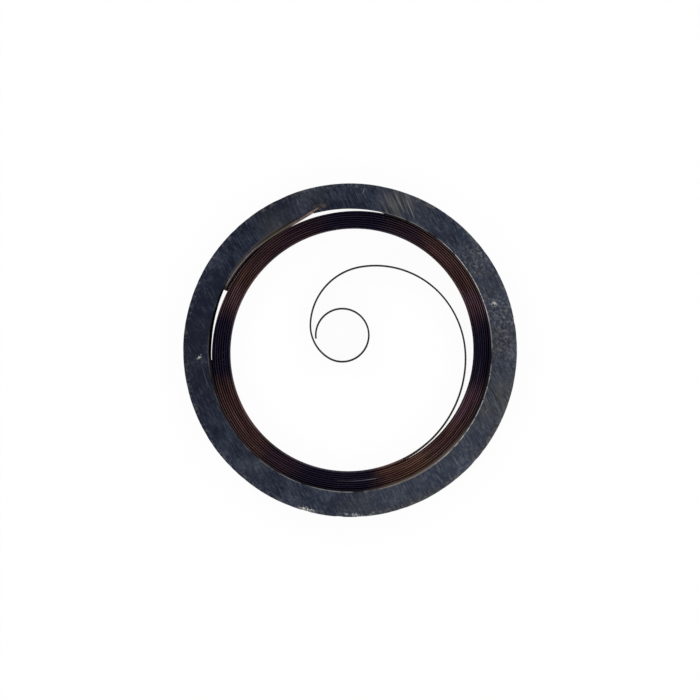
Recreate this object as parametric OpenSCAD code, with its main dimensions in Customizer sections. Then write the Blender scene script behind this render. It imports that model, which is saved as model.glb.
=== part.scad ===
// Watch mainspring held wound inside its flat retaining ring, with a short bridle strip.
// Millimetres, +Z up. The origin is the centre of the ring on its underside.

/* [Ring] */
// Outside diameter of the retaining ring
ring_od = 16; // [14:0.5:20]
// Width of the ring's flat face, from the outside to the bore
ring_w = 1.2; // [1:0.1:2]
// Thickness of the ring
ring_h = 1.4; // [1:0.1:2]
// Broken edge at the ring's corners
ring_edge = 0.04; // [0.02:0.01:0.1]

/* [Blade] */
// Thickness of the spring blade
blade_t = 0.082; // [0.07:0.002:0.1]
// Height of the blade, along the axis
blade_h = 1.2; // [0.8:0.1:1.4]
// Free space between one turn and the next
turn_gap = 0.021; // [0.014:0.001:0.03]
// Whole tight turns wound against the ring
turns = 8; // [6:1:9]
// Free space between the widest point of the pack and the ring
fit_gap = 0.02; // [0.01:0.005:0.03]

/* [Eye] */
// Inside diameter of the eye that grips the barrel arbor
eye_d = 2.45; // [1.9:0.05:2.8]
// Part of a full circle that the eye covers, in degrees
eye_sweep = 311; // [290:1:318]

/* [Bridle] */
// Thickness of the bridle strip
bridle_t = 0.15; // [0.1:0.01:0.18]
// Height of the bridle strip, along the axis
bridle_h = 1.2; // [0.8:0.1:1.4]
// Direction of the bridle's blunt free end, in degrees from +X
bridle_end = 154.4; // [148:0.2:160]
// Direction where the bridle leaves its curve and runs straight, in degrees from +X
bridle_bend = 120.7; // [119:0.1:123]
// Direction of the bridle's tip in the ring's slot, in degrees from +X
bridle_tip = 102.3; // [101.5:0.1:104.5]

/* [Hidden] */

// Radius of the ring's bore
bore_r = ring_od / 2 - ring_w;
// Overrun of a cut past the face it passes through
past = 1;

// Distance from the middle of one turn to the middle of the next
pitch = blade_t + turn_gap;
half_t = blade_t / 2;
// Directions where the pack lets go of the free coil, and where the blade ends outside
leave_at = 296;
outer_end = 184;
// Angle wound in the pack, its count of computed points and the angle from one to the next
pack_angle = turns * 360 + leave_at - outer_end;
pack_n = round(pack_angle / 5);
pack_step = pack_angle / pack_n;
turn_n = ceil(360 / pack_step);

// The bridle pushes the pack off centre and presses it slightly oval
pack_shift = 0.4 * bridle_t;
shift_at = 341;
pack_oval = 0.48 * bridle_t;
oval_at = 49;

// How the pack bulges in direction a, and how that changes with a
function bulge(a) = pack_shift * cos(a - shift_at) + pack_oval * cos(2 * (a - oval_at));
function bulge_slope(a) = -pack_shift * sin(a - shift_at) - 2 * pack_oval * sin(2 * (a - oval_at));
// How far point i of the pack lies outside the pack's start radius
function grow(i) = pitch * i * pack_step / 360 + bulge(leave_at - i * pack_step);
reach = max([for (i = [pack_n - turn_n : pack_n]) grow(i)]);
start_r = bore_r - fit_gap - half_t - reach;

function polar(r, a) = [r * cos(a), r * sin(a)];
function normal(h) = [-sin(h), cos(h)];
function reversed(v) = [for (i = [len(v) - 1 : -1 : 0]) v[i]];

// Points of the pack: side 1 is the outer face of the blade, side -1 the inner face
function pack_point(i, side) = polar(start_r + grow(i) + side * half_t, leave_at - i * pack_step);

// Outer radius of the whole pack in direction a
function wrap(a) = (leave_at - a) - 360 * floor((leave_at - a) / 360);
function last_turned(a) = wrap(a) + 360 * floor((pack_angle - wrap(a)) / 360);
function pack_reach(a) = start_r + pitch * last_turned(a) / 360 + bulge(a) + half_t;

// The eye is rolled from the softened inner end, a touch thicker than the blade
eye_lap = 0.005;
eye_t = blade_t + 2 * eye_lap;
eye_r = eye_d / 2;
eye_mid = eye_r + eye_t / 2;
// Angle by which the blade runs on inside the eye's wall, and by which the wall begins before the eye
eye_tuck = 6;
eye_early = 2;

// The free coil: tangent arcs from the pack to the eye, each a radius and a sweep.
// The first four radii are shares of the pack's start radius, the last a share of the eye's radius.
lead_arc = [1.45, 60];
coil_arcs = [[0.93, 62], [0.793, 36], [0.729, 65], [0.496, 77], lead_arc];
arc_last = len(coil_arcs) - 1;
coil_step = 4;
function arc_r(k) = coil_arcs[k][0] * (k == arc_last ? eye_mid : start_r + grow(0));
function arc_sweep(k) = coil_arcs[k][1];
function arc_n(k) = ceil(arc_sweep(k) / coil_step);
// Slope of the pack's spiral where the coil leaves it
leave_r = start_r + grow(0);
leave_slope = bulge_slope(leave_at) - pitch / (2 * PI);
leave_heading = leave_at + 90 - atan2(leave_slope, leave_r);
function heading(k) = k == 0 ? leave_heading : heading(k - 1) + arc_sweep(k - 1);
function knot(k) = k == 0 ? polar(leave_r, leave_at) : arc_centre(k - 1) - arc_r(k - 1) * normal(heading(k));
function arc_centre(k) = knot(k) + arc_r(k) * normal(heading(k));
function coil_point(k, f, side) =
    arc_centre(k) - (arc_r(k) + side * half_t) * normal(heading(k) + f * arc_sweep(k));
eye_heading = heading(arc_last + 1);
eye_centre = knot(arc_last + 1) + eye_mid * normal(eye_heading);
function eye_point(f, side) = eye_centre - (eye_mid + side * half_t) * normal(eye_heading + f * eye_tuck);

// One face of the blade from its outer end to the eye
function blade_side(side) = concat(
    [for (i = [pack_n : -1 : 0]) pack_point(i, side)],
    [for (k = [0 : arc_last]) for (j = [1 : arc_n(k)]) coil_point(k, j / arc_n(k), side)],
    [for (f = [0.5, 1]) eye_point(f, side)]
);

// The bridle touches the pack at its bend and lies near the bore at its free end
bend_gap = 0.012;
end_gap = 0.03;
bend_r = pack_reach(bridle_bend) + bend_gap;
end_r = bore_r - end_gap - bridle_t;
tip_run = (bend_r + bridle_t / 2) * tan(bridle_bend - bridle_tip);
slot_gap = 0.025;
bridle_n = 14;
function bridle_share(j) = j / bridle_n;
function bridle_in_r(j) = bend_r + (end_r - bend_r) * bridle_share(j);
function bridle_at(j) = bridle_bend + (bridle_end - bridle_bend) * bridle_share(j);
// A point of the straight part, at radius r beside the bend and s along the strip
function straight_point(r, s) = polar(r, bridle_bend) - s * normal(bridle_bend);

module ring_section() {
    r_in = bore_r;
    r_out = ring_od / 2;
    polygon([
        [r_in + ring_edge, 0],
        [r_out - ring_edge, 0],
        [r_out, ring_edge],
        [r_out, ring_h - ring_edge],
        [r_out - ring_edge, ring_h],
        [r_in + ring_edge, ring_h],
        [r_in, ring_h - ring_edge],
        [r_in, ring_edge]
    ]);
}

// Oblique slot from the bore into the ring that takes the bridle's tip
module bridle_slot() {
    rotate([0, 0, bridle_bend])
        translate([bend_r - slot_gap, -tip_run - slot_gap, -past])
            cube([bridle_t + 2 * slot_gap, tip_run + slot_gap, ring_h + 2 * past]);
}

// Flat ground steel ring that keeps the spring wound
module retaining_ring() {
    color([0.22, 0.25, 0.30])
        difference() {
            rotate_extrude($fn = 180) ring_section();
            bridle_slot();
        }
}

// The eye at the inner end, open between its tip and the blade
module eye() {
    translate([eye_centre[0], eye_centre[1], 0])
        rotate([0, 0, eye_heading - 90 - eye_early])
            rotate_extrude(angle = eye_sweep + eye_early, $fn = 120)
                translate([eye_r, 0]) square([eye_t, blade_h]);
}

// One blade: tight turns against the ring, the free coil and the eye
module mainspring() {
    color([0.20, 0.13, 0.12])
        union() {
            linear_extrude(height = blade_h)
                polygon(concat(blade_side(1), reversed(blade_side(-1))));
            eye();
        }
}

// Short stiff strip between the outer turn and the ring, its tip in the ring's slot
module bridle() {
    color([0.42, 0.41, 0.40])
        linear_extrude(height = bridle_h)
            polygon(concat(
                [for (j = [bridle_n : -1 : 0]) polar(bridle_in_r(j) + bridle_t, bridle_at(j))],
                [straight_point(bend_r + bridle_t, tip_run), straight_point(bend_r, tip_run)],
                [for (j = [0 : bridle_n]) polar(bridle_in_r(j), bridle_at(j))]
            ));
}

retaining_ring();
mainspring();
bridle();
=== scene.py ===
# %% [markdown]
# # A watch mainspring in its retaining ring
# A mainspring is the long, thin steel blade that drives a watch. It is sold wound up inside a flat
# steel ring, which keeps it closed until it is pushed into its barrel. The solids of the ring, the
# blade and a short bridle strip come from CAD, and this lesson gives each of them its real edges,
# its wear and its finish. Everything stays in metres and in the frame of the solids.

# %% Load the solids
import bmesh
import bpy
import math
from mathutils import Matrix, Vector, noise


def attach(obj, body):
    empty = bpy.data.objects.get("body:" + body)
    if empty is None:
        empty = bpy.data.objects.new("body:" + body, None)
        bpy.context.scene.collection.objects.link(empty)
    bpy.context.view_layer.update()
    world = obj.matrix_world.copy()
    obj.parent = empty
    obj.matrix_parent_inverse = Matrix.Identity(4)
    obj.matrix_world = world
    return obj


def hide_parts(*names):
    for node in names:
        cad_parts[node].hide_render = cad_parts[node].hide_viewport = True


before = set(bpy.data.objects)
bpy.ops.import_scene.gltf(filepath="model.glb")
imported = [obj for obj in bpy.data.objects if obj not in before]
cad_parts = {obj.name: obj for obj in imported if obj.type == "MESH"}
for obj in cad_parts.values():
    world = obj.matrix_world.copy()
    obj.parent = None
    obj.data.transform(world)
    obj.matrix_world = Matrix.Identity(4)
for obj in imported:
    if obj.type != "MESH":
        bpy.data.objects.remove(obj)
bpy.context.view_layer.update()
MM = 0.001

# %% [markdown]
# ## Working by hand, in code
# Each piece below starts as a primitive and is shaped with the same operators that the menus call.
# An operator acts on whatever is selected, and loading the solids leaves them selected. These three
# helpers clear the selection, pick vertices by their place in edit mode, and apply a modifier.

# %% Selection helpers
def clear_selection():
    bpy.ops.object.select_all(action="DESELECT")


def pick(piece, test):
    """In edit mode, selects the vertices whose place passes the test, and the edges between them."""
    mesh = bmesh.from_edit_mesh(piece.data)
    for part in (*mesh.verts, *mesh.edges, *mesh.faces):
        part.select = False
    for v in mesh.verts:
        if test(v.co):
            v.select = True
    mesh.select_flush(True)
    bmesh.update_edit_mesh(piece.data)


def apply_modifier(piece, kind, **settings):
    modifier = piece.modifiers.new(kind.lower(), kind)
    for name, value in settings.items():
        setattr(modifier, name, value)
    bpy.context.view_layer.objects.active = piece
    bpy.ops.object.modifier_apply(modifier=modifier.name)


print("helpers ready")

# %% [markdown]
# ## The ring
# The real ring is a flat turned washer with its faces ground by hand: broken edges, a slightly
# uneven rim and a slot that takes the tip of the bridle. It could be a cylinder with a hole cut
# through it, but a lathe makes such a ring from its section, so the section is drawn once and spun.
# First comes the section: a plane as wide as the ring and as high as it is thick, with its corners
# rounded and its long sides divided, so that wear has vertices to move.

# %% The ring's section
ring_od, ring_w, ring_h, ring_edge = 16.0, 1.2, 1.4, 0.04
outer_r = ring_od / 2
bore_r = outer_r - ring_w

clear_selection()
bpy.ops.mesh.primitive_plane_add(
    size=1, location=((bore_r + ring_w / 2) * MM, 0, ring_h / 2 * MM), rotation=(math.radians(90), 0, 0))
ring = bpy.context.object
ring.name = "ground_ring"
ring.scale = (ring_w * MM, ring_h * MM, 1)
bpy.ops.object.transform_apply(location=True, rotation=True, scale=True)
bpy.ops.object.mode_set(mode="EDIT")
bpy.ops.mesh.select_mode(type="VERT")
bpy.ops.mesh.select_all(action="SELECT")
bpy.ops.mesh.bevel(offset=ring_edge * MM, segments=3, affect="VERTICES")
bpy.ops.mesh.delete(type="ONLY_FACE")
hair = 0.001 * MM
top_cuts, under_cuts, wall_cuts = 17, 5, 4
pick(ring, lambda p: p.z > ring_h * MM - hair)
bpy.ops.mesh.subdivide(number_cuts=top_cuts)
pick(ring, lambda p: p.z < hair)
bpy.ops.mesh.subdivide(number_cuts=under_cuts)
for wall_r in (bore_r, outer_r):
    pick(ring, lambda p: abs(p.x - wall_r * MM) < hair)
    bpy.ops.mesh.subdivide(number_cuts=wall_cuts)
print("section vertices:", len(bmesh.from_edit_mesh(ring.data).verts))

# %% [markdown]
# Spin carries the section once round the axis. The last copy lands on the first, so the doubles are
# merged, and the faces are turned outwards afterwards, because a spin can leave them inside out.

# %% Spin the section into a ring
ring_steps, weld = 720, 0.0005 * MM
bpy.ops.mesh.select_all(action="SELECT")
bpy.ops.mesh.spin(steps=ring_steps, angle=math.tau, center=(0, 0, 0), axis=(0, 0, 1))
bpy.ops.mesh.select_all(action="SELECT")
bpy.ops.mesh.remove_doubles(threshold=weld)
bpy.ops.mesh.normals_make_consistent(inside=False)
bpy.ops.object.mode_set(mode="OBJECT")
print("ring vertices:", len(ring.data.vertices))

# %% [markdown]
# ## The route of the blade
# The blade is one strip: about eight tight turns against the ring, a free coil and an eye for the
# arbor. Its route could be read off the solid's mesh, but a formula keeps every turn smooth, so the
# route is worked out here as it is in the solids. The pack is a spiral that the bridle pushes off
# centre and presses slightly oval. All values are in millimetres and degrees.

# %% Spiral of the pack
blade_t, turn_gap, fit_gap, bridle_t = 0.082, 0.021, 0.02, 0.15
pitch = blade_t + turn_gap
leave_at, outer_end, turns = 296.0, 184.0, 8
pack_angle = turns * 360 + leave_at - outer_end
pack_shift, shift_at = 0.4 * bridle_t, 341.0
pack_oval, oval_at = 0.48 * bridle_t, 49.0


def cosd(a):
    return math.cos(math.radians(a))


def sind(a):
    return math.sin(math.radians(a))


def bulge(a):
    return pack_shift * cosd(a - shift_at) + pack_oval * cosd(2 * (a - oval_at))


def grow(turned):
    return pitch * turned / 360 + bulge(leave_at - turned)


reach = max(grow(pack_angle - turned) for turned in range(0, 361, 2))
start_r = bore_r - fit_gap - blade_t / 2 - reach
print("pack starts at radius", round(start_r, 4), "and winds", pack_angle, "degrees")

# %% [markdown]
# Real turns don't lie evenly. The outer ones stand off near the blade's outer end and where the bridle
# lets go, and the inner ones are pressed outwards beside the place where the coil leaves them. The turns
# could be pushed about in the finished mesh, but a small bump in the radius moves a whole turn smoothly.

# %% Turns that stand off or are pressed
stand_places = ((outer_end, 0.06, 27.0), (74.0, 0.045, 26.0))  # direction, most and half width
stand_depth = 1800.0  # degrees of winding over which the outer turns settle again
squeeze_at, squeeze_most, squeeze_half, squeeze_fade = 324.0, 0.04, 48.0, 24.0
squeeze_start, squeeze_depth = 180.0, 1440.0


def clamped(value):
    return min(1.0, max(0.0, value))


def angle_between(a, b):
    return abs((a - b + 180) % 360 - 180)


def spread(turned):
    """How far the outer turns stand off, least for the inner ones."""
    layer = max(0.0, pack_angle - turned - 360)
    stand = 0.0
    for at, most, half in stand_places:
        stand += most * max(0.0, 1 - angle_between(leave_at - turned, at) / half)
    return stand * max(0.0, 1 - layer / stand_depth)


def squeeze(turned):
    """How far the inner turns are pressed outwards, least for the outer ones."""
    if turned < squeeze_start:
        return 0.0
    near = clamped((squeeze_half - angle_between(leave_at - turned, squeeze_at)) / squeeze_fade)
    return squeeze_most * near * clamped(1 - (turned - 360) / squeeze_depth)


def pack_point(turned):
    r, a = start_r + grow(turned) + spread(turned) + squeeze(turned), leave_at - turned
    return Vector((r * cosd(a), r * sind(a)))


print("outermost point of the pack:", [round(v, 3) for v in pack_point(pack_angle)])

# %% [markdown]
# Where it leaves the pack, the blade runs free: it uncoils in ever tighter arcs and ends in the eye that
# grips the arbor. A drawn curve would do, but a chain of arcs that share their tangents has no kink, and
# each arc is only a radius and a sweep.

# %% Coil and eye
eye_mid, eye_sweep = 1.271, 311.0
leave_r = start_r + grow(0)
coil_arcs = [(0.93 * leave_r, 62), (0.793 * leave_r, 36), (0.729 * leave_r, 65),
             (0.496 * leave_r, 77), (1.45 * eye_mid, 60), (eye_mid, eye_sweep)]
leave_slope = (-pack_shift * sind(leave_at - shift_at)
               - 2 * pack_oval * sind(2 * (leave_at - oval_at)) - pitch / math.tau)


def left_of(heading):
    return Vector((-sind(heading), cosd(heading)))


def free_coil(step):
    """Points of the coil and the eye, one for each few degrees of turning."""
    points, at = [], pack_point(0)
    heading = leave_at + 90 - math.degrees(math.atan2(leave_slope, leave_r))
    for radius, sweep in coil_arcs:
        centre = at + radius * left_of(heading)
        count = math.ceil(sweep / step)
        points += [centre - radius * left_of(heading + sweep * k / count) for k in range(1, count + 1)]
        at, heading = points[-1], heading + sweep
    return points


def stand_off(points, most, rise, fall):
    """Lifts the start of the coil off the pack by a hair, so that light passes between them."""
    for k, point in enumerate(points[:fall]):
        lift = most * min(1.0, k / rise) * min(1.0, 2 - 2 * k / fall)
        points[k] = point * (1 - lift / point.length)
    return points


pack_step = 2.5
pack_count = round(pack_angle / pack_step)
blade_route = [pack_point(pack_angle * (1 - k / pack_count)) for k in range(pack_count + 1)]
coil_step, coil_lift, lift_rise, lift_fall = 2, 0.012, 5, 40
blade_route += stand_off(free_coil(coil_step), coil_lift, lift_rise, lift_fall)
blade_length = sum((b - a).length for a, b in zip(blade_route, blade_route[1:]))
print("blade route:", len(blade_route), "points,", round(blade_length), "mm long")

# %% [markdown]
# ## From a route to a strip
# A strip such as the blade or the bridle could be extruded section by section, or swept along a
# curve. Here it is made as a strip of sheet metal would be thought of: its middle line is a chain of
# edges, which starts as a circle that is opened and laid along the route, the edges are extruded
# upwards into a wall, Solidify gives the wall its thickness, and Bevel rounds the four long edges,
# as tumbling and polishing do. The rounded edges are what catches the light on each turn.

# %% Make a strip along a route
blade_h, foot_z = 1.2, 0.008


def strip_along(name, route, thickness, top_of, rounding, lean_of):
    """A strip whose top height and foot's lean are asked for at each point of the route."""
    clear_selection()
    bpy.ops.mesh.primitive_circle_add(vertices=len(route), radius=bore_r * MM, fill_type="NOTHING")
    strip = bpy.context.object
    strip.name = name
    for vertex, point in zip(strip.data.vertices, route):
        vertex.co = (point.x * MM, point.y * MM, 0)
    bpy.ops.object.mode_set(mode="EDIT")
    mesh = bmesh.from_edit_mesh(strip.data)
    mesh.verts.ensure_lookup_table()
    closing = mesh.edges.get((mesh.verts[0], mesh.verts[-1]))
    for edge in mesh.edges:
        edge.select = edge is closing
    bmesh.update_edit_mesh(strip.data)
    bpy.ops.mesh.select_mode(type="EDGE")
    bpy.ops.mesh.delete(type="EDGE_FACE")
    bpy.ops.mesh.select_mode(type="VERT")
    bpy.ops.mesh.select_all(action="SELECT")
    bpy.ops.mesh.extrude_region_move(TRANSFORM_OT_translate={"value": (0, 0, blade_h * MM)})
    bpy.ops.object.mode_set(mode="OBJECT")
    count = len(route)
    for k, vertex in enumerate(strip.data.vertices):
        if k < count:
            vertex.co *= 1 - lean_of(k) / route[k].length
            vertex.co.z = foot_z * MM
        else:
            vertex.co.z = top_of(k - count) * MM
    apply_modifier(strip, "SOLIDIFY", thickness=thickness * MM, offset=0, use_even_offset=True)
    apply_modifier(strip, "BEVEL", width=rounding * MM, segments=4, limit_method="ANGLE",
                   angle_limit=math.radians(50))
    bpy.ops.object.mode_set(mode="EDIT")
    bpy.ops.mesh.select_all(action="SELECT")
    bpy.ops.mesh.normals_make_consistent(inside=False)
    bpy.ops.object.mode_set(mode="OBJECT")
    bpy.ops.object.shade_smooth_by_angle(angle=math.radians(40))
    return strip


print("strip maker ready")

# %% [markdown]
# ## The blade
# The turns of a real pack are not quite flush: each stands a few hundredths of a millimetre higher or
# lower than its neighbour, which breaks the light into fine lines. Moving whole turns up and down would
# leave steps, so the top edge follows a slow noise along the blade, always downwards from its full height.
# The turns also lean together like the sides of a shallow cone, so no light falls straight through the
# gaps between them. The free coil leans the other way, so that it shows as a fine line from above.

# %% Build the blade
flush_slack, slow_wave, quick_wave = 0.035, 0.045, 0.17
pack_lean, pack_lean_points = 0.012, 30
coil_lean, coil_lean_points = -0.005, 8  # the coil's lean is a share of its radius
blade_rounding = 0.039


def blade_top(k):
    slow = noise.noise(Vector((k * slow_wave, 3.7, 0)))
    quick = noise.noise(Vector((k * quick_wave, 8.1, 0)))
    return blade_h - flush_slack * clamped(0.5 + 0.5 * (slow + 0.5 * quick))


def blade_lean(k):
    if k > pack_count:
        return coil_lean * blade_route[k].length * min(1.0, (k - pack_count) / coil_lean_points)
    return pack_lean * min(1.0, (pack_count - k) / pack_lean_points)


blade = strip_along("spring_blade", blade_route, blade_t, blade_top, blade_rounding, blade_lean)
print("blade faces:", len(blade.data.polygons))

# %% [markdown]
# The inner end of a mainspring is softened again in a flame before its eye is rolled, so the free coil
# and the eye are blacker than the pack. A mask on the distance from the middle would blacken the pack
# too where the coil starts, so each face is marked by its depth inside the pack, in an attribute.

# %% Mark the softened end
soft_from, soft_over = 0.05, 0.13
soft_end = blade.data.attributes.new("soft_end", "FLOAT", "FACE")
softened = 0
for face, value in zip(blade.data.polygons, soft_end.data):
    at = face.center.xy / MM
    a = math.degrees(math.atan2(at.y, at.x))
    depth = start_r + grow((leave_at - a) % 360) - at.length
    value.value = clamped((depth - soft_from) / soft_over)
    softened += value.value > 0.5
print("softened faces:", softened)

# %% [markdown]
# ## The bridle
# The bridle is a short, stiffer strip between the outer turn and the ring. Its blunt end lies along
# the bore, it presses on the pack in the middle, and its straight tip runs into the ring's slot. The same
# strip maker builds it, from a straight run and a curve that follows the bore.

# %% Build the bridle
bridle_h, bridle_rounding = 1.2, 0.022
bridle_end, bridle_bend, bridle_tip = 154.4, 120.7, 102.3
press_gap, bore_gap = 0.012, 0.03
bridle_tilt, tilt_points = 0.08, 12


def pack_reach(a):
    turned = (leave_at - a) % 360
    return start_r + grow(turned + 360 * math.floor((pack_angle - turned) / 360)) + blade_t / 2


bend_r = pack_reach(bridle_bend) + press_gap
end_r = bore_r - bore_gap - bridle_t
tip_run = (bend_r + bridle_t / 2) * math.tan(math.radians(bridle_bend - bridle_tip))


def bridle_curve(share):
    r = bend_r + (end_r - bend_r) * share + bridle_t / 2
    a = bridle_bend + (bridle_end - bridle_bend) * share
    return Vector((r * cosd(a), r * sind(a)))


straight_n, curve_n = 16, 40
bend_point = bridle_curve(0)
bridle_route = [bend_point - left_of(bridle_bend) * tip_run * (1 - k / straight_n)
                for k in range(straight_n)]
bridle_route += [bridle_curve(k / curve_n) for k in range(curve_n + 1)]


def bridle_lean(k):
    return bridle_tilt * clamped((k - straight_n) / tilt_points)


bridle = strip_along("bridle_strip", bridle_route, bridle_t, lambda k: bridle_h, bridle_rounding,
                     bridle_lean)
print("bridle faces:", len(bridle.data.polygons), "tip run", round(tip_run, 3), "mm")

# %% [markdown]
# ## The slot in the ring
# The slot is a straight saw cut from the bore into the ring. Drawn in the section, it would be spun all
# the way round. So a box as wide as the bridle, with a little play, is laid along the straight tip, and a
# Boolean modifier takes it away from the ring, as the saw does.

# %% Cut the slot
slot_in, slot_out = 0.025, 0.004  # play towards the middle, and behind the strip and at its tip
slot_w, slot_run = bridle_t + slot_in + slot_out, tip_run + slot_out
slot_mid = (Vector((cosd(bridle_bend), sind(bridle_bend))) * (bend_r - slot_in + slot_w / 2)
            - left_of(bridle_bend) * slot_run / 2)
clear_selection()
bpy.ops.mesh.primitive_cube_add(
    size=1, location=(slot_mid.x * MM, slot_mid.y * MM, ring_h / 2 * MM),
    rotation=(0, 0, math.radians(bridle_bend)), scale=(slot_w * MM, slot_run * MM, 2 * ring_h * MM))
saw = bpy.context.object
apply_modifier(ring, "BOOLEAN", operation="DIFFERENCE", object=saw, solver="EXACT")
bpy.data.objects.remove(saw)
print("ring faces after the slot:", len(ring.data.polygons))

# %% [markdown]
# ## Wear on the ring
# Years in a drawer leave the rim uneven, nick its edges and dent its faces. A thin lip over the bore
# reaches just far enough to close the gap to the spring behind it, and its paint stands in for the light and
# shade in that gap. The wall of the bore isn't quite upright either: its foot stands inwards on the left and
# outwards at the top. A bump in the finish would show none of this in outline, so the vertices themselves
# are moved.

# %% How far the lip and the wall of the bore reach
lip_w, lip_most, lip_least, lip_fade = 0.045, 0.16, 0.03, 6.0
pack_zone, bridle_zone = (181.0, 439.0), (104.0, 153.0)
pack_past, bridle_past = 0.03, 0.02  # how far the lip goes past the edge of the spring
lean_knots = ((66, 0), (78, -0.035), (112, -0.035), (118, 0), (150, 0.04), (154, 0.068), (160, 0.095),
              (163, 0.110), (170, 0.125), (175, 0.130), (179, 0.122), (182, 0.112), (184, 0.105),
              (184.6, 0.05), (200, 0.04), (230, 0))


def bridle_reach(a):
    """Outer radius of the bridle in direction a."""
    if a < bridle_bend:
        return (bend_r + bridle_t) / cosd(a - bridle_bend)
    return bridle_curve((a - bridle_bend) / (bridle_end - bridle_bend)).length + bridle_t / 2


def lip_reach(a):
    """How far the lip reaches over the bore in direction a: it closes the gap to the spring, and its paint
    stands in for the light and shade there.
    """
    zones = ((pack_zone, pack_reach, pack_past), (bridle_zone, bridle_reach, bridle_past))
    for (start, end), rest, past in zones:
        turned = (a - start) % 360
        if turned < end - start:
            fade = min(1.0, min(turned, end - start - turned) / lip_fade)
            return max(lip_least, fade * min(lip_most, bore_r - rest(a) + past))
    return lip_least


def bore_lean(a):
    """How far the foot of the bore's wall stands inwards in direction a."""
    for (a0, v0), (a1, v1) in zip(lean_knots, lean_knots[1:]):
        if a0 <= a < a1:
            return v0 + (v1 - v0) * (a - a0) / (a1 - a0)
    return 0.0


print("lip reaches", round(lip_reach(315.0), 3), "mm over the bore at the lower right")

# %% [markdown]
# Each vertex near the rim is drawn inwards by a slow noise round the ring, the face waves by a few
# thousandths of a millimetre, and each nick pushes its nearest vertices in. The outside only loses metal,
# so the ring keeps its size.

# %% Wear the rim and dent the face
nicks = (  # x, y, size and depth
    (-7.20, -0.31, 0.16, 0.02), (-2.16, -7.70, 0.20, 0.05), (-0.52, -7.93, 0.22, 0.04),
    (0.46, -7.94, 0.20, 0.03), (6.90, 2.24, 0.14, 0.015), (-3.36, 7.22, 0.16, 0.03),
    (5.96, -5.28, 0.18, 0.03), (7.86, 1.40, 0.18, 0.03))
rim_w, rim_worn, rim_slow, rim_quick = 0.12, 0.012, 0.008, 0.012
lip_h, lip_rough = 0.06, 0.12
face_h, face_wave, nick_h = 0.1, 0.003, 0.3


def worn(co):
    """Where a vertex of the new ring lies after its wear."""
    x, y, z = (v / MM for v in co)
    r, a = math.hypot(x, y), math.degrees(math.atan2(y, x)) % 360
    ux, uy = x / r, y / r
    slow = noise.noise(Vector((ux * 5, uy * 5, 1.3)))
    quick = noise.noise(Vector((ux * 34, uy * 34, z * 1.5 + 4.1)))
    rim = max(0.0, (r - (outer_r - rim_w)) / rim_w)
    pull = rim * (rim_worn + rim_slow * slow + rim_quick * max(0.0, quick))
    inner = bore_r + lip_w - r
    if inner > 0 and z > ring_h - lip_h:
        rough = 1 + lip_rough * noise.noise(Vector((ux * 26, uy * 26, 9.2)))
        pull += lip_reach(a) * rough * inner / lip_w
    if inner > 0:
        pull += bore_lean(a) * (1 - z / ring_h) * inner / lip_w
    top = max(0.0, (z - ring_h + face_h) / face_h)
    drop = top * face_wave * (1 + noise.noise(Vector((x * 1.1, y * 1.1, 5.5))))
    for nick_x, nick_y, size, depth in nicks:
        near = 1 - math.hypot(x - nick_x, y - nick_y) / size
        if near > 0 and z > ring_h - nick_h:
            drop += depth * near * top
            pull += depth * near * rim
    return Vector(((x - pull * ux) * MM, (y - pull * uy) * MM, (z - drop) * MM))


for vertex in ring.data.vertices:
    vertex.co = worn(vertex.co)
clear_selection()
ring.select_set(True)
bpy.context.view_layer.objects.active = ring
bpy.ops.object.shade_smooth_by_angle(angle=math.radians(40))
worn_r = max(v.co.xy.length for v in ring.data.vertices) / MM
print("nicks:", len(nicks), "ring radius now", round(worn_r, 3))

# %% [markdown]
# ## Riding the frame
# Each new piece stands for its solid and rides on the part's only body.

# %% Tie the pieces to the solids
for piece, node, slot in ((ring, "retaining_ring", "ring_steel"), (blade, "mainspring", "spring_steel"),
                          (bridle, "bridle", "bridle_steel")):
    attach(piece, "root")
    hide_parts(node)
    print(piece.name, "stands for", node)

# %% [markdown]
# ## Writing materials as sums
# A finish is a web of small nodes. It could be wired node by node, but it reads best as arithmetic: a Wire
# holds one output, and adding, multiplying or subtracting wires puts Math nodes between them.

# %% Wires
class Wire:
    def __init__(self, tree, socket):
        self.tree, self.socket = tree, socket

    def math(self, kind, *values):
        node = self.tree.nodes.new("ShaderNodeMath")
        node.operation = kind
        for socket, value in zip(node.inputs, values):
            plug(self.tree, socket, value)
        return Wire(self.tree, node.outputs[0])

    def __add__(self, other):
        return self.math("ADD", self, other)

    def __sub__(self, other):
        return self.math("SUBTRACT", self, other)

    def __rsub__(self, other):
        return self.math("SUBTRACT", other, self)

    def __mul__(self, other):
        return self.math("MULTIPLY", self, other)

    def __truediv__(self, other):
        return self.math("DIVIDE", self, other)

    def __rtruediv__(self, other):
        return self.math("DIVIDE", other, self)

    def __pow__(self, other):
        return self.math("POWER", self, other)

    def __rpow__(self, other):
        return self.math("POWER", other, self)

    __radd__, __rmul__ = __add__, __mul__


def plug(tree, socket, value):
    if isinstance(value, Wire):
        tree.links.new(value.socket, socket)
    elif isinstance(value, tuple) and len(value) == 3 and len(socket.default_value) == 4:
        socket.default_value = (*value, 1)
    else:
        socket.default_value = value


print("wires ready")

# %% [markdown]
# A Finish holds one material. One method adds any node, and a few more name what the finishes below use
# most: noise, scratches, soft steps and windows, spots and blends. It measures places in millimetres, and
# gives the distance from the axis and the direction round it, because this part is round.

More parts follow.
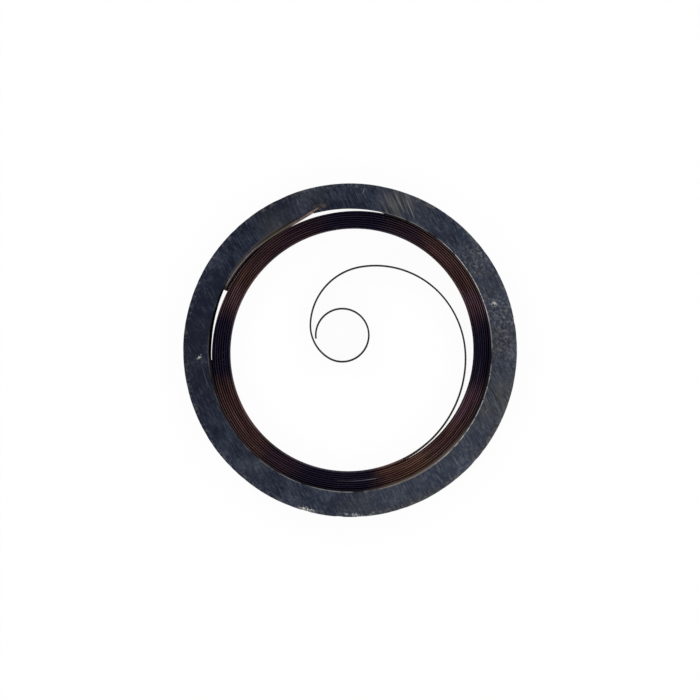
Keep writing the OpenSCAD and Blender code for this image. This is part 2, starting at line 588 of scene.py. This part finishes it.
# %% Finishes
class Finish:
    def __init__(self, name):
        self.material = bpy.data.materials.new(name)
        self.material.use_nodes = True
        self.tree = self.material.node_tree
        self.shader = self.tree.nodes["Principled BSDF"]
        place = self.add("ShaderNodeTexCoord", out="Object")
        self.place = self.add("ShaderNodeVectorMath", {"operation": "SCALE"}, {0: place, "Scale": 1 / MM})
        split = self.add("ShaderNodeSeparateXYZ", {}, {0: self.place}, out=None)
        self.x, self.y, self.z = (Wire(self.tree, o) for o in split.outputs)
        self.r = (self.x * self.x + self.y * self.y) ** 0.5
        self.a = self.x.math("ARCTAN2", self.y, self.x) * math.degrees(1)

    def add(self, kind, settings=None, sockets=None, out=0):
        node = self.tree.nodes.new(kind)
        for name, value in (settings or {}).items():
            setattr(node, name, value)
        for name, value in (sockets or {}).items():
            plug(self.tree, node.inputs[name], value)
        return node if out is None else Wire(self.tree, node.outputs[out])

    def noise(self, vector, scale, detail=3.0, rough=0.5):
        return self.add("ShaderNodeTexNoise", {}, {
            "Vector": vector, "Scale": scale, "Detail": detail, "Roughness": rough})

    def grain(self, turn, fine, long, seed):
        """Noise drawn out into scratches that fall to the right at an angle of turn degrees."""
        across = self.x * sind(turn) + self.y * cosd(turn)
        along = self.x * cosd(turn) - self.y * sind(turn)
        return self.noise(self.join(across * fine, along * long, seed), 1.0, 3.0, 0.6)

    def scratch(self, x0, y0, x1, y1, width):
        """One straight scratch from end to end, fading at both."""
        length = math.hypot(x1 - x0, y1 - y0)
        ux, uy = (x1 - x0) / length, (y1 - y0) / length
        along = (self.x - x0) * ux + (self.y - y0) * uy
        off = (self.x - x0) * uy - (self.y - y0) * ux
        fade = min(0.2, length / 4)
        return self.ease(off * off, width * width, 0.0) * self.between(along, fade, length - fade, fade)

    def join(self, x, y, z):
        return self.add("ShaderNodeCombineXYZ", {}, {0: x, 1: y, 2: z})

    def ease(self, value, low, high):
        """A soft step from 0 at low to 1 at high."""
        return self.add("ShaderNodeMapRange", {"interpolation_type": "SMOOTHSTEP"}, {
            "Value": value, "From Min": low, "From Max": high, "To Min": 0.0, "To Max": 1.0})

    def between(self, value, low, high, soft):
        """A window with soft borders: 1 from low to high and 0 outside."""
        return self.ease(value, low - soft, low + soft) * self.ease(value, high + soft, high - soft)

    def blend(self, mask, under, over):
        return self.add("ShaderNodeMix", {"data_type": "RGBA"}, {0: mask, 6: under, 7: over}, out=2)

    def blob(self, x, y, size, turn=None):
        """A soft round spot at x, y on the face, or a spot drawn out along a direction."""
        dx, dy = self.x - x, self.y - y
        if turn is not None:
            dx, dy = (dx * cosd(turn) + dy * sind(turn)) * 0.6, (dy * cosd(turn) - dx * sind(turn)) * 1.8
        return self.ease((dx * dx + dy * dy) ** 0.5, size, 0.0)

    def bump(self, height, distance):
        return self.add("ShaderNodeBump", {}, {"Height": height, "Distance": distance * MM, "Strength": 1.0})

    def set(self, **sockets):
        for name, value in sockets.items():
            plug(self.tree, self.shader.inputs[name.replace("_", " ").title().replace("Ior", "IOR")], value)
        return self.material


print("finishes ready")

# %% [markdown]
# ## Ground ring steel
# The ring is dark, slate-blue steel, ground by hand with fine, steep parallel scratches. It could be painted
# as an image, but noise drawn out along the grinding has no seams, and one number turns all of it. The
# face is painted paler towards the right as painted light, and most layers below are weighed by it.

# %% Ring finish
grind = 62.0
steel = Finish("ring_steel")
fine = steel.grain(grind, 19.0, 1.5, 2.0)
cross = steel.grain(grind - 40, 15.0, 1.2, 4.0)
drag = steel.grain(grind, 5.0, 0.5, 7.0)
cloud = steel.noise(steel.place, 0.8, 4.0, 0.6)
patch = steel.noise(steel.place, 0.33, 3.0, 0.6)
speckle = steel.noise(steel.place, 7.0, 5.0, 0.75)
# Painted light: the face is painted paler towards the right, where light falls on it.
lit_side = steel.ease(steel.x * 0.94 - steel.y * 0.34, -9.5, 8.5)
tone = (0.46 * lit_side + (fine - 0.5) * 1.5 + (cross - 0.5) * 0.5 + (speckle - 0.5) * 0.8
        + (cloud - 0.5) * 1.1 - steel.blob(-7.4, 0.9, 3.8) * 0.13 + 0.06)
tone_places = (  # x, y, size and how much lighter
    (-5.2, 5.2, 3.5, 0.09), (-5.8, -4.2, 3.0, 0.07), (5.2, 5.2, 3.4, -0.13), (7.1, -2.0, 2.6, 0.09))
for x, y, size, lighter in tone_places:
    tone = tone + steel.blob(x, y, size) * lighter
slate = steel.blend(tone, (0.0080, 0.0098, 0.0190), (0.050, 0.060, 0.088))
slate = steel.blend(steel.ease(patch, 0.45, 0.65) * (0.1 + 0.35 * lit_side), slate, (0.034, 0.034, 0.032))
print("ring nodes for the ground steel:", len(steel.tree.nodes))

# %% [markdown]
# Handling has left pale mottling, dust and swept patches, mostly on the right, where the painted light also
# makes them stronger. Each is a layer: a mask of noise, held to its place by soft spots on the face, blends
# one more colour over the steel.

# %% Mottling and dust on the ring
mottle = steel.grain(grind, 8.0, 3.2, 11.0)
slate = steel.blend(steel.ease(mottle, 0.52, 0.68) * lit_side * 0.38, slate, (0.090, 0.095, 0.105))
slate = steel.blend(steel.ease(mottle, 0.50, 0.36) * lit_side * 0.60, slate, (0.022, 0.026, 0.039))
dusty = steel.ease(cloud, 0.5, 0.7) * (0.15 + 0.25 * lit_side)
for x, y, size, strength in ((7.2, 1.8, 1.7, 0.9), (7.35, 0.2, 1.3, 0.8), (6.0, 4.4, 1.4, 0.7)):
    dusty = dusty + steel.blob(x, y, size) * strength
slate = steel.blend(dusty * steel.ease(speckle, 0.50, 0.62) * 0.60, slate, (0.165, 0.158, 0.150))
swept = steel.blob(2.3, 7.1, 1.0) + steel.blob(6.9, -2.5, 2.2) * 1.4
slate = steel.blend(swept * steel.ease(drag, 0.45, 0.58) * 0.40, slate, (0.066, 0.064, 0.058))
slate = steel.blend(swept * steel.ease(drag, 0.48, 0.36) * 0.55, slate, (0.016, 0.019, 0.028))
hairs = steel.ease(fine, 0.57, 0.69) * (0.10 + 0.34 * lit_side + swept * 0.15)
slate = steel.blend(hairs, slate, (0.105, 0.112, 0.125))
print("ring nodes with mottling and dust:", len(steel.tree.nodes))

# %% [markdown]
# A brushed patch, an olive and a rusty stain and single scratches lie where fingers and tweezers have been.
# Noise alone wouldn't leave a lone scratch, so each of them is drawn from its two ends.

# %% Stains and scratches on the ring
brushed = steel.blob(2.25, 7.05, 1.25) * steel.ease(steel.grain(grind + 4, 8.0, 0.3, 9.0), 0.40, 0.60)
slate = steel.blend(brushed * 0.75, slate, (0.088, 0.087, 0.082))
olive = steel.blob(-3.7, 5.9, 1.3) + steel.blob(-1.5, 7.4, 1.0) * 0.5
slate = steel.blend(olive * 0.4, slate, (0.036, 0.038, 0.034))
rust = steel.blob(-1.42, 6.88, 0.3, 12) * steel.ease(speckle, 0.38, 0.55)
slate = steel.blend(rust * 0.8, slate, (0.085, 0.062, 0.045))
scratch_w = 0.026
scratches = (  # both ends and the brightness
    (2.60, 7.47, 3.14, 6.14, 0.5), (2.06, 7.65, 2.66, 6.44, 0.25), (2.42, 7.47, 2.90, 6.31, 0.25),
    (1.86, 7.67, 2.42, 6.47, 0.18), (1.54, 7.63, 2.10, 6.63, 0.15), (0.71, 7.86, 0.59, 7.40, 0.45),
    (6.84, -0.98, 7.61, -2.23, 0.12), (6.75, -1.94, 7.32, -3.28, 0.12), (4.82, -4.87, 5.26, -5.69, 0.3),
    (-2.62, 7.35, -2.40, 6.90, 0.25), (-7.10, -0.75, -6.75, -1.90, 0.15), (4.05, -5.84, 4.40, -6.33, 0.28),
    (6.42, -3.05, 6.62, -2.78, 0.35), (6.28, -3.52, 6.44, -3.86, 0.25), (5.30, -5.02, 5.46, -5.52, 0.22))
for x0, y0, x1, y1, bright in scratches:
    slate = steel.blend(steel.scratch(x0, y0, x1, y1, scratch_w) * bright, slate, (0.24, 0.24, 0.23))
print("scratches:", len(scratches))

# %% [markdown]
# The lip is painted tan as lit steel at the lower right and over the bridle, and near-black as painted shade
# elsewhere. Beside it, the inner edge carries a painted highlight and, at the right, a painted glint. A mask
# from the mesh's sharp edges would brighten both edges of the ring alike, so the masks go by the distance
# from the axis, the height and the direction.

# %% Lip and inner edge of the ring
edge_noise = steel.noise(steel.place, 1.6, 3.0)
highlight_side = steel.ease(steel.x * 0.9 - steel.y * 0.44, -4.5, 3.0) * 0.75 + 0.25
upper = steel.ease(steel.z, ring_h - 0.15, ring_h - 0.04)
edge = steel.between(steel.r, bore_r - 0.028, bore_r + 0.012, 0.015) * upper
lip_skin = steel.ease(steel.r, bore_r + 0.01, bore_r - 0.01) * steel.ease(steel.z, ring_h - 0.2, ring_h - 0.1)
# Painted light and shade: the lip is painted tan where it shows lit, at the lower right and over the bridle,
# and near-black as shade elsewhere.
lit_lip_side = steel.between(steel.a, -78.0, -36.0, 9.0) + steel.between(steel.a, 118.0, 152.0, 4.0) * 0.35
tan_fade = steel.ease(steel.r, bore_r - 0.12, bore_r - 0.02)
lit_lip_skin = steel.blend(tan_fade, (0.062, 0.047, 0.040), (0.112, 0.093, 0.083))
lip_light_and_shade = steel.blend(lit_lip_side, (0.010, 0.0085, 0.010), lit_lip_skin)
slate = steel.blend(lip_skin, slate, lip_light_and_shade)
# Painted highlight: a bright line along the inner edge, strongest at the lower right and left out over the
# bridle and at the top.
highlight_reach = 1 - 0.8 * steel.between(steel.a, 106, 160, 3.0) - 0.45 * steel.between(steel.a, 74, 103, 3.0)
edge_highlight = edge * highlight_side * steel.ease(edge_noise, 0.35, 0.62) * highlight_reach
slate = steel.blend(edge_highlight * (0.68 - 0.35 * lit_lip_side), slate, (0.24, 0.232, 0.225))
# Painted glint: very pale spots on the inner edge, at the right.
edge_glint = steel.between(steel.r, bore_r - 0.010, bore_r + 0.012, 0.010) * upper
edge_glint = edge_glint * (steel.between(steel.a, -52.0, -8.0, 6.0) + steel.between(steel.a, 12.0, 48.0, 5.0))
slate = steel.blend(edge_glint * steel.ease(speckle, 0.40, 0.55) * 0.75, slate, (0.55, 0.54, 0.52))
print("ring nodes with the inner edge:", len(steel.tree.nodes))

# %% [markdown]
# The outer rim is tan at the lower right and chipped bright at the bottom. The wall of the bore is painted
# near-black as shade, and the wall and most of the lip are dull: as mirrors they would show the white sheet,
# so they aren't metallic.

# %% Rim, chips and shader of the ring
rim_tan = steel.ease(steel.r, outer_r - 0.32, outer_r - 0.05) * steel.between(steel.a, -75.0, -12.0, 12.0)
slate = steel.blend(rim_tan * steel.ease(speckle, 0.4, 0.6) * 0.5, slate, (0.075, 0.064, 0.054))
chips = steel.ease(steel.noise(steel.place, 5.5, 3.0, 0.6), 0.52, 0.60)
rim_zone = steel.ease(steel.r, outer_r - 0.26, outer_r - 0.14)
rim_chips = chips * rim_zone * (steel.blob(0.3, -7.9, 1.2) * 0.5 + 0.08)
chipped = steel.blob(-2.08, -7.63, 0.36, -15) * 1.6 * steel.ease(speckle, 0.50, 0.58)
rim_chips = (rim_chips + chipped) * steel.ease(steel.z, ring_h - 0.18, ring_h - 0.04)
marks = steel.blob(-7.19, -0.30, 0.15, 40) * 1.6 + steel.blob(6.90, 2.24, 0.2)
slate = steel.blend(rim_chips + marks * steel.ease(speckle, 0.46, 0.58), slate, (0.40, 0.39, 0.36))
inside = steel.ease(steel.r, bore_r + 0.02, bore_r)
# Painted shade: the wall of the bore is darkened to near-black below its top edge.
wall = inside * steel.ease(steel.z, ring_h - 0.04, ring_h - 0.1)
slate = steel.blend(wall * 0.7, slate, (0.010, 0.010, 0.013))
dull = inside * steel.ease(steel.z, ring_h - 0.005, ring_h - 0.025)
ring_bump = steel.bump(fine * 0.8 + cross * 0.4 + speckle * 0.5, 0.005)
ring.data.materials.append(steel.set(
    base_color=slate, roughness=(0.40 + 0.2 * cloud) * (1 - dull) + 0.95 * dull, normal=ring_bump,
    metallic=1 - dull, specular_ior_level=0.0))
print("ring nodes:", len(steel.tree.nodes))

# %% [markdown]
# ## Tempered blade steel
# Spring steel is heated after hardening, which turns its skin from straw through brown to violet. The
# turns are painted brown in broad sectors, where the diagonal lamps light their rounded edges, and
# violet-black between: the sectors are painted light over the temper colours, with finer streaks along the
# blade. A colour ramp round the axis would be too regular, so each sector is a window on the direction
# whose borders wander with noise, and lanes that follow the turns vary its colour.

# %% Temper colours of the blade
temper = Finish("spring_steel")
wander = temper.a + (temper.noise(temper.place, 0.6, 3.0) - 0.5) * 14
# Painted light: the sectors that face the diagonal lamps are painted brown, the others violet-black.
lit_sector_mask = 0.0
lit_sectors = (  # from, to and strength
    (14, 57, 0.65), (14, 73, 0.35), (103, 139, 0.32), (139, 164, 0.95), (-167, -130, 0.6),
    (-167, -115, 0.35), (-76, -17, 1.0))
for start, end, strength in lit_sectors:
    lit_sector_mask = lit_sector_mask + temper.between(wander, start, end, 5.5) * strength
lanes = temper.noise(temper.join(temper.r * 9.7, temper.a * 0.05, 1.0), 1.0, 3.0)
streaks = temper.noise(temper.join(temper.r * 24, temper.a * 0.12, temper.z * 2), 1.0, 4.0)
brown = temper.blend(temper.ease(lanes, 0.3, 0.75), (0.0205, 0.0096, 0.0094), (0.064, 0.032, 0.031))
violet = temper.blend(temper.ease(lanes, 0.35, 0.8), (0.0080, 0.0062, 0.0150), (0.0140, 0.0108, 0.0230))
skin = temper.blend(lit_sector_mask, violet, brown)
# Painted light: the outer turns in the lit sectors are painted a paler brown.
skin = temper.blend(lit_sector_mask * temper.ease(temper.r, 6.36, 6.55) * 0.4, skin, (0.070, 0.042, 0.040))
skin = temper.blend(temper.ease(streaks, 0.62, 0.85) * 0.3, skin, (0.085, 0.055, 0.048))
print("brown sectors:", len(lit_sectors))

# %% [markdown]
# The painted lit sectors and their borders carry more tints of painted light: straw and russet, mauve where
# brown turns to violet, and a rusty tint near the bottom. Here and there one turn has a painted highlight
# line.

# %% Borders and pale lines of the blade
# Painted light: these tints follow the lit sectors and their borders.
straw = temper.between(wander, 136, 161, 6.0) * 0.55 + temper.between(wander, -74, -52, 5.0) * 1.4
skin = temper.blend(straw * temper.ease(lanes, 0.40, 0.62) * 0.6, skin, (0.072, 0.045, 0.030))
russet = temper.between(wander, 106, 148, 6.0) * temper.ease(lanes, 0.35, 0.65)
skin = temper.blend(russet * 0.5, skin, (0.042, 0.018, 0.015))
mauve = temper.between(wander, 14, 27, 4.0) + temper.between(wander, -33, -17, 4.0)
mauve = mauve + temper.between(wander, 152, 163, 4.0) * 0.6
skin = temper.blend(mauve * temper.ease(lanes, 0.30, 0.60) * 0.6, skin, (0.060, 0.033, 0.054))
rusty_lit_tint = temper.between(wander, -75, -56, 4.0) * (0.18 + 0.30 * temper.ease(streaks, 0.35, 0.6))
skin = temper.blend(rusty_lit_tint, skin, (0.088, 0.040, 0.029))
# Painted highlights: single turns get a pale line.
highlight_half = 0.018
highlight_lines = (  # radius, from and to
    (6.255, -96, -77), (6.427, 177, 180), (6.427, -180, -169), (6.235, -13, -3), (5.93, 95.0, 97.0))
for line_r, start, end in highlight_lines:
    line = (temper.between(temper.r, line_r - highlight_half, line_r + highlight_half, 0.014)
            * temper.between(temper.a, start, end, 1.5))
    skin = temper.blend(line * temper.ease(streaks, 0.3, 0.6), skin, (0.12, 0.105, 0.13))
print("pale lines:", len(highlight_lines))

# %% [markdown]
# The polished top edge shines, while the softened end is a dull black oxide without any metal in it. The
# attribute made with the blade says which face is which.

# %% Softened end and shader of the blade
edge_zone = temper.ease(temper.z, blade_h - 0.15, blade_h - 0.08)
soft = temper.add("ShaderNodeAttribute", {"attribute_name": "soft_end"}, out="Fac")
skin = temper.blend(soft, skin, temper.blend(streaks, (0.020, 0.0165, 0.0165), (0.042, 0.034, 0.033)))
sheen = edge_zone * (1 - soft)
blade.data.materials.append(temper.set(
    base_color=skin, roughness=0.85 - sheen * (0.55 - 0.25 * streaks),
    normal=temper.bump(streaks, 0.003), metallic=(0.4 + 0.6 * sheen) * (1 - soft), specular_ior_level=0.0))
print("blade nodes:", len(temper.tree.nodes))

# %% [markdown]
# ## Bridle steel
# The bridle keeps a paler skin: a painted grey highlight along its curved end, olive where it presses on
# the pack, and brown at its tip. One colour with noise would look like new strip, so its tarnish changes
# with the direction round the axis, and its inner side is painted dark as shade along the curve.

# %% Bridle finish
strap = Finish("bridle_steel")
rub = strap.noise(strap.place, 5.0, 4.0, 0.6)
lengthwise = strap.noise(strap.join(strap.r * 14, strap.a * 0.15, strap.z), 1.0, 4.0)
# Painted highlight: the curved end of the bridle is painted pale grey.
tarnish_light_and_shade = strap.blend(strap.ease(strap.a, 128, 135), (0.080, 0.072, 0.055), (0.230, 0.205, 0.215))
tarnish_light_and_shade = strap.blend(strap.ease(strap.a, 117, 112), tarnish_light_and_shade, (0.125, 0.090, 0.082))
tarnish_light_and_shade = strap.blend(strap.ease(strap.a, 109, 105), tarnish_light_and_shade, (0.205, 0.155, 0.145))
tarnish_light_and_shade = strap.blend(strap.ease(strap.a, 151, 153.5), tarnish_light_and_shade, (0.02, 0.017, 0.016))
share = (strap.a - bridle_bend) / (bridle_end - bridle_bend)
depth = strap.r - bend_r - share * (end_r - bend_r)
# Painted shade: the inner side of the curve is painted dark.
shaded = strap.ease(strap.a, 127, 134) * strap.ease(depth, 0.070, 0.050)
tarnish_light_and_shade = strap.blend(shaded, tarnish_light_and_shade, (0.026, 0.019, 0.023))
tarnish_light_and_shade = strap.blend(strap.ease(rub, 0.45, 0.7) * 0.6, tarnish_light_and_shade, (0.05, 0.042, 0.036))
bridle.data.materials.append(strap.set(
    base_color=tarnish_light_and_shade, roughness=0.34 + 0.25 * lengthwise,
    normal=strap.bump(lengthwise, 0.004), metallic=1.0))
print("bridle nodes:", len(strap.tree.nodes))

# %% [markdown]
# ## Floor and light
# The part lies on a plain white sheet. To the camera the sheet shows mostly its own white, and it keeps a
# part of the shadow. Lit by the lamps alone, it would fade to grey away from them.

# %% Floor
def in_sight(tree):
    """1 for rays from the camera, directly or by a mirror or a clear body, and 0 for other rays."""
    rays = tree.nodes.new("ShaderNodeLightPath")
    seen = Wire(tree, rays.outputs["Is Camera Ray"])
    for kind in ("Is Glossy Ray", "Is Transmission Ray"):
        seen = seen.math("MAXIMUM", seen, Wire(tree, rays.outputs[kind]))
    return seen


sheet_wide, sheet_drop, own_white = 0.5, 0.002, 0.95
clear_selection()
bpy.ops.mesh.primitive_plane_add(size=sheet_wide, location=(0, 0, -sheet_drop * MM))
floor = bpy.context.object
floor.name = "white_sheet"
sheet = Finish("white_sheet")
paper = sheet.noise(sheet.place, 0.3, 2.0)
sheet.set(base_color=sheet.blend(paper, (0.90, 0.90, 0.90), (0.94, 0.94, 0.94)), roughness=0.9)
glow = sheet.add("ShaderNodeEmission", {}, {"Color": (1.0, 1.0, 1.0), "Strength": 1.0})
mix = sheet.add("ShaderNodeMixShader", {}, {0: in_sight(sheet.tree) * own_white, 2: glow}, out=None)
sheet.tree.links.new(sheet.shader.outputs[0], mix.inputs[1])
sheet.tree.links.new(mix.outputs[0], sheet.tree.nodes["Material Output"].inputs[0])
floor.data.materials.append(sheet.material)
print("floor", round(floor.dimensions.x, 2), "m wide")

# %% [markdown]
# Four soft lamps stand on the diagonals, as in a light tent with dark seams, and each lights the rounded
# edges of the turns that face it. One large lamp overhead would be mirrored in the whole flat ring and turn
# it pale. The world is white to the camera and in mirrors, and half as bright as a light.

# %% Lamps and world
lamp_count, lamp_start, lamp_power = 4, 45.0, 0.034
lamp_far, lamp_up = 0.12, 42.0
lamp_size = (0.075, 0.055)
for k in range(lamp_count):
    spin = lamp_start + 360 * k / lamp_count
    aim = Vector((cosd(spin) * cosd(lamp_up), sind(spin) * cosd(lamp_up), sind(lamp_up)))
    lamp = bpy.data.lights.new("softbox_%d" % k, "AREA")
    lamp.shape, lamp.size, lamp.size_y = "RECTANGLE", *lamp_size
    lamp.energy = lamp_power
    holder = bpy.data.objects.new(lamp.name, lamp)
    holder.location = aim * lamp_far
    holder.rotation_euler = aim.to_track_quat("Z", "Y").to_euler()
    bpy.context.scene.collection.objects.link(holder)

white_seen, white_light = 1.0, 0.5
world = bpy.data.worlds.new("studio")
bpy.context.scene.world = world
world.use_nodes = True
sky = world.node_tree
brightness = in_sight(sky) * (white_seen - white_light) + white_light
plug(sky, sky.nodes["Background"].inputs["Color"], (1.0, 1.0, 1.0))
plug(sky, sky.nodes["Background"].inputs["Strength"], brightness)
print("lamps:", lamp_count)

# %% [markdown]
# ## Camera
# The picture is taken from almost straight above. The camera stands a little towards the top of the
# frame, so the walls at the bottom of the bore show more than those at the top. It could come closer with
# a wider lens, but from far away the walls of the spring show only as fine lines, as they should.

# %% Camera and view
target = Vector((-0.005 * MM, 0.016 * MM, ring_h * MM))
camera_stand, frame_wide = Vector((-0.5, 2.1, 200.0)) * MM, 33.50 * MM
camera_data = bpy.data.cameras.new("camera")
camera = bpy.data.objects.new("camera", camera_data)
bpy.context.scene.collection.objects.link(camera)
camera.location = target + camera_stand
camera_data.sensor_width = 36.0
camera_data.lens = camera_data.sensor_width * (camera.location - target).length / frame_wide
camera_data.clip_start, camera_data.clip_end = 0.005, 5.0
look = (camera.location - target).normalized()
right = Vector((0, 1, 0)).cross(look).normalized()
up = look.cross(right)
camera.rotation_euler = Matrix((right, up, look)).transposed().to_euler()
bpy.context.scene.camera = camera
bpy.context.scene.view_settings.view_transform = "Standard"
print("lens", round(camera_data.lens, 1), "mm")
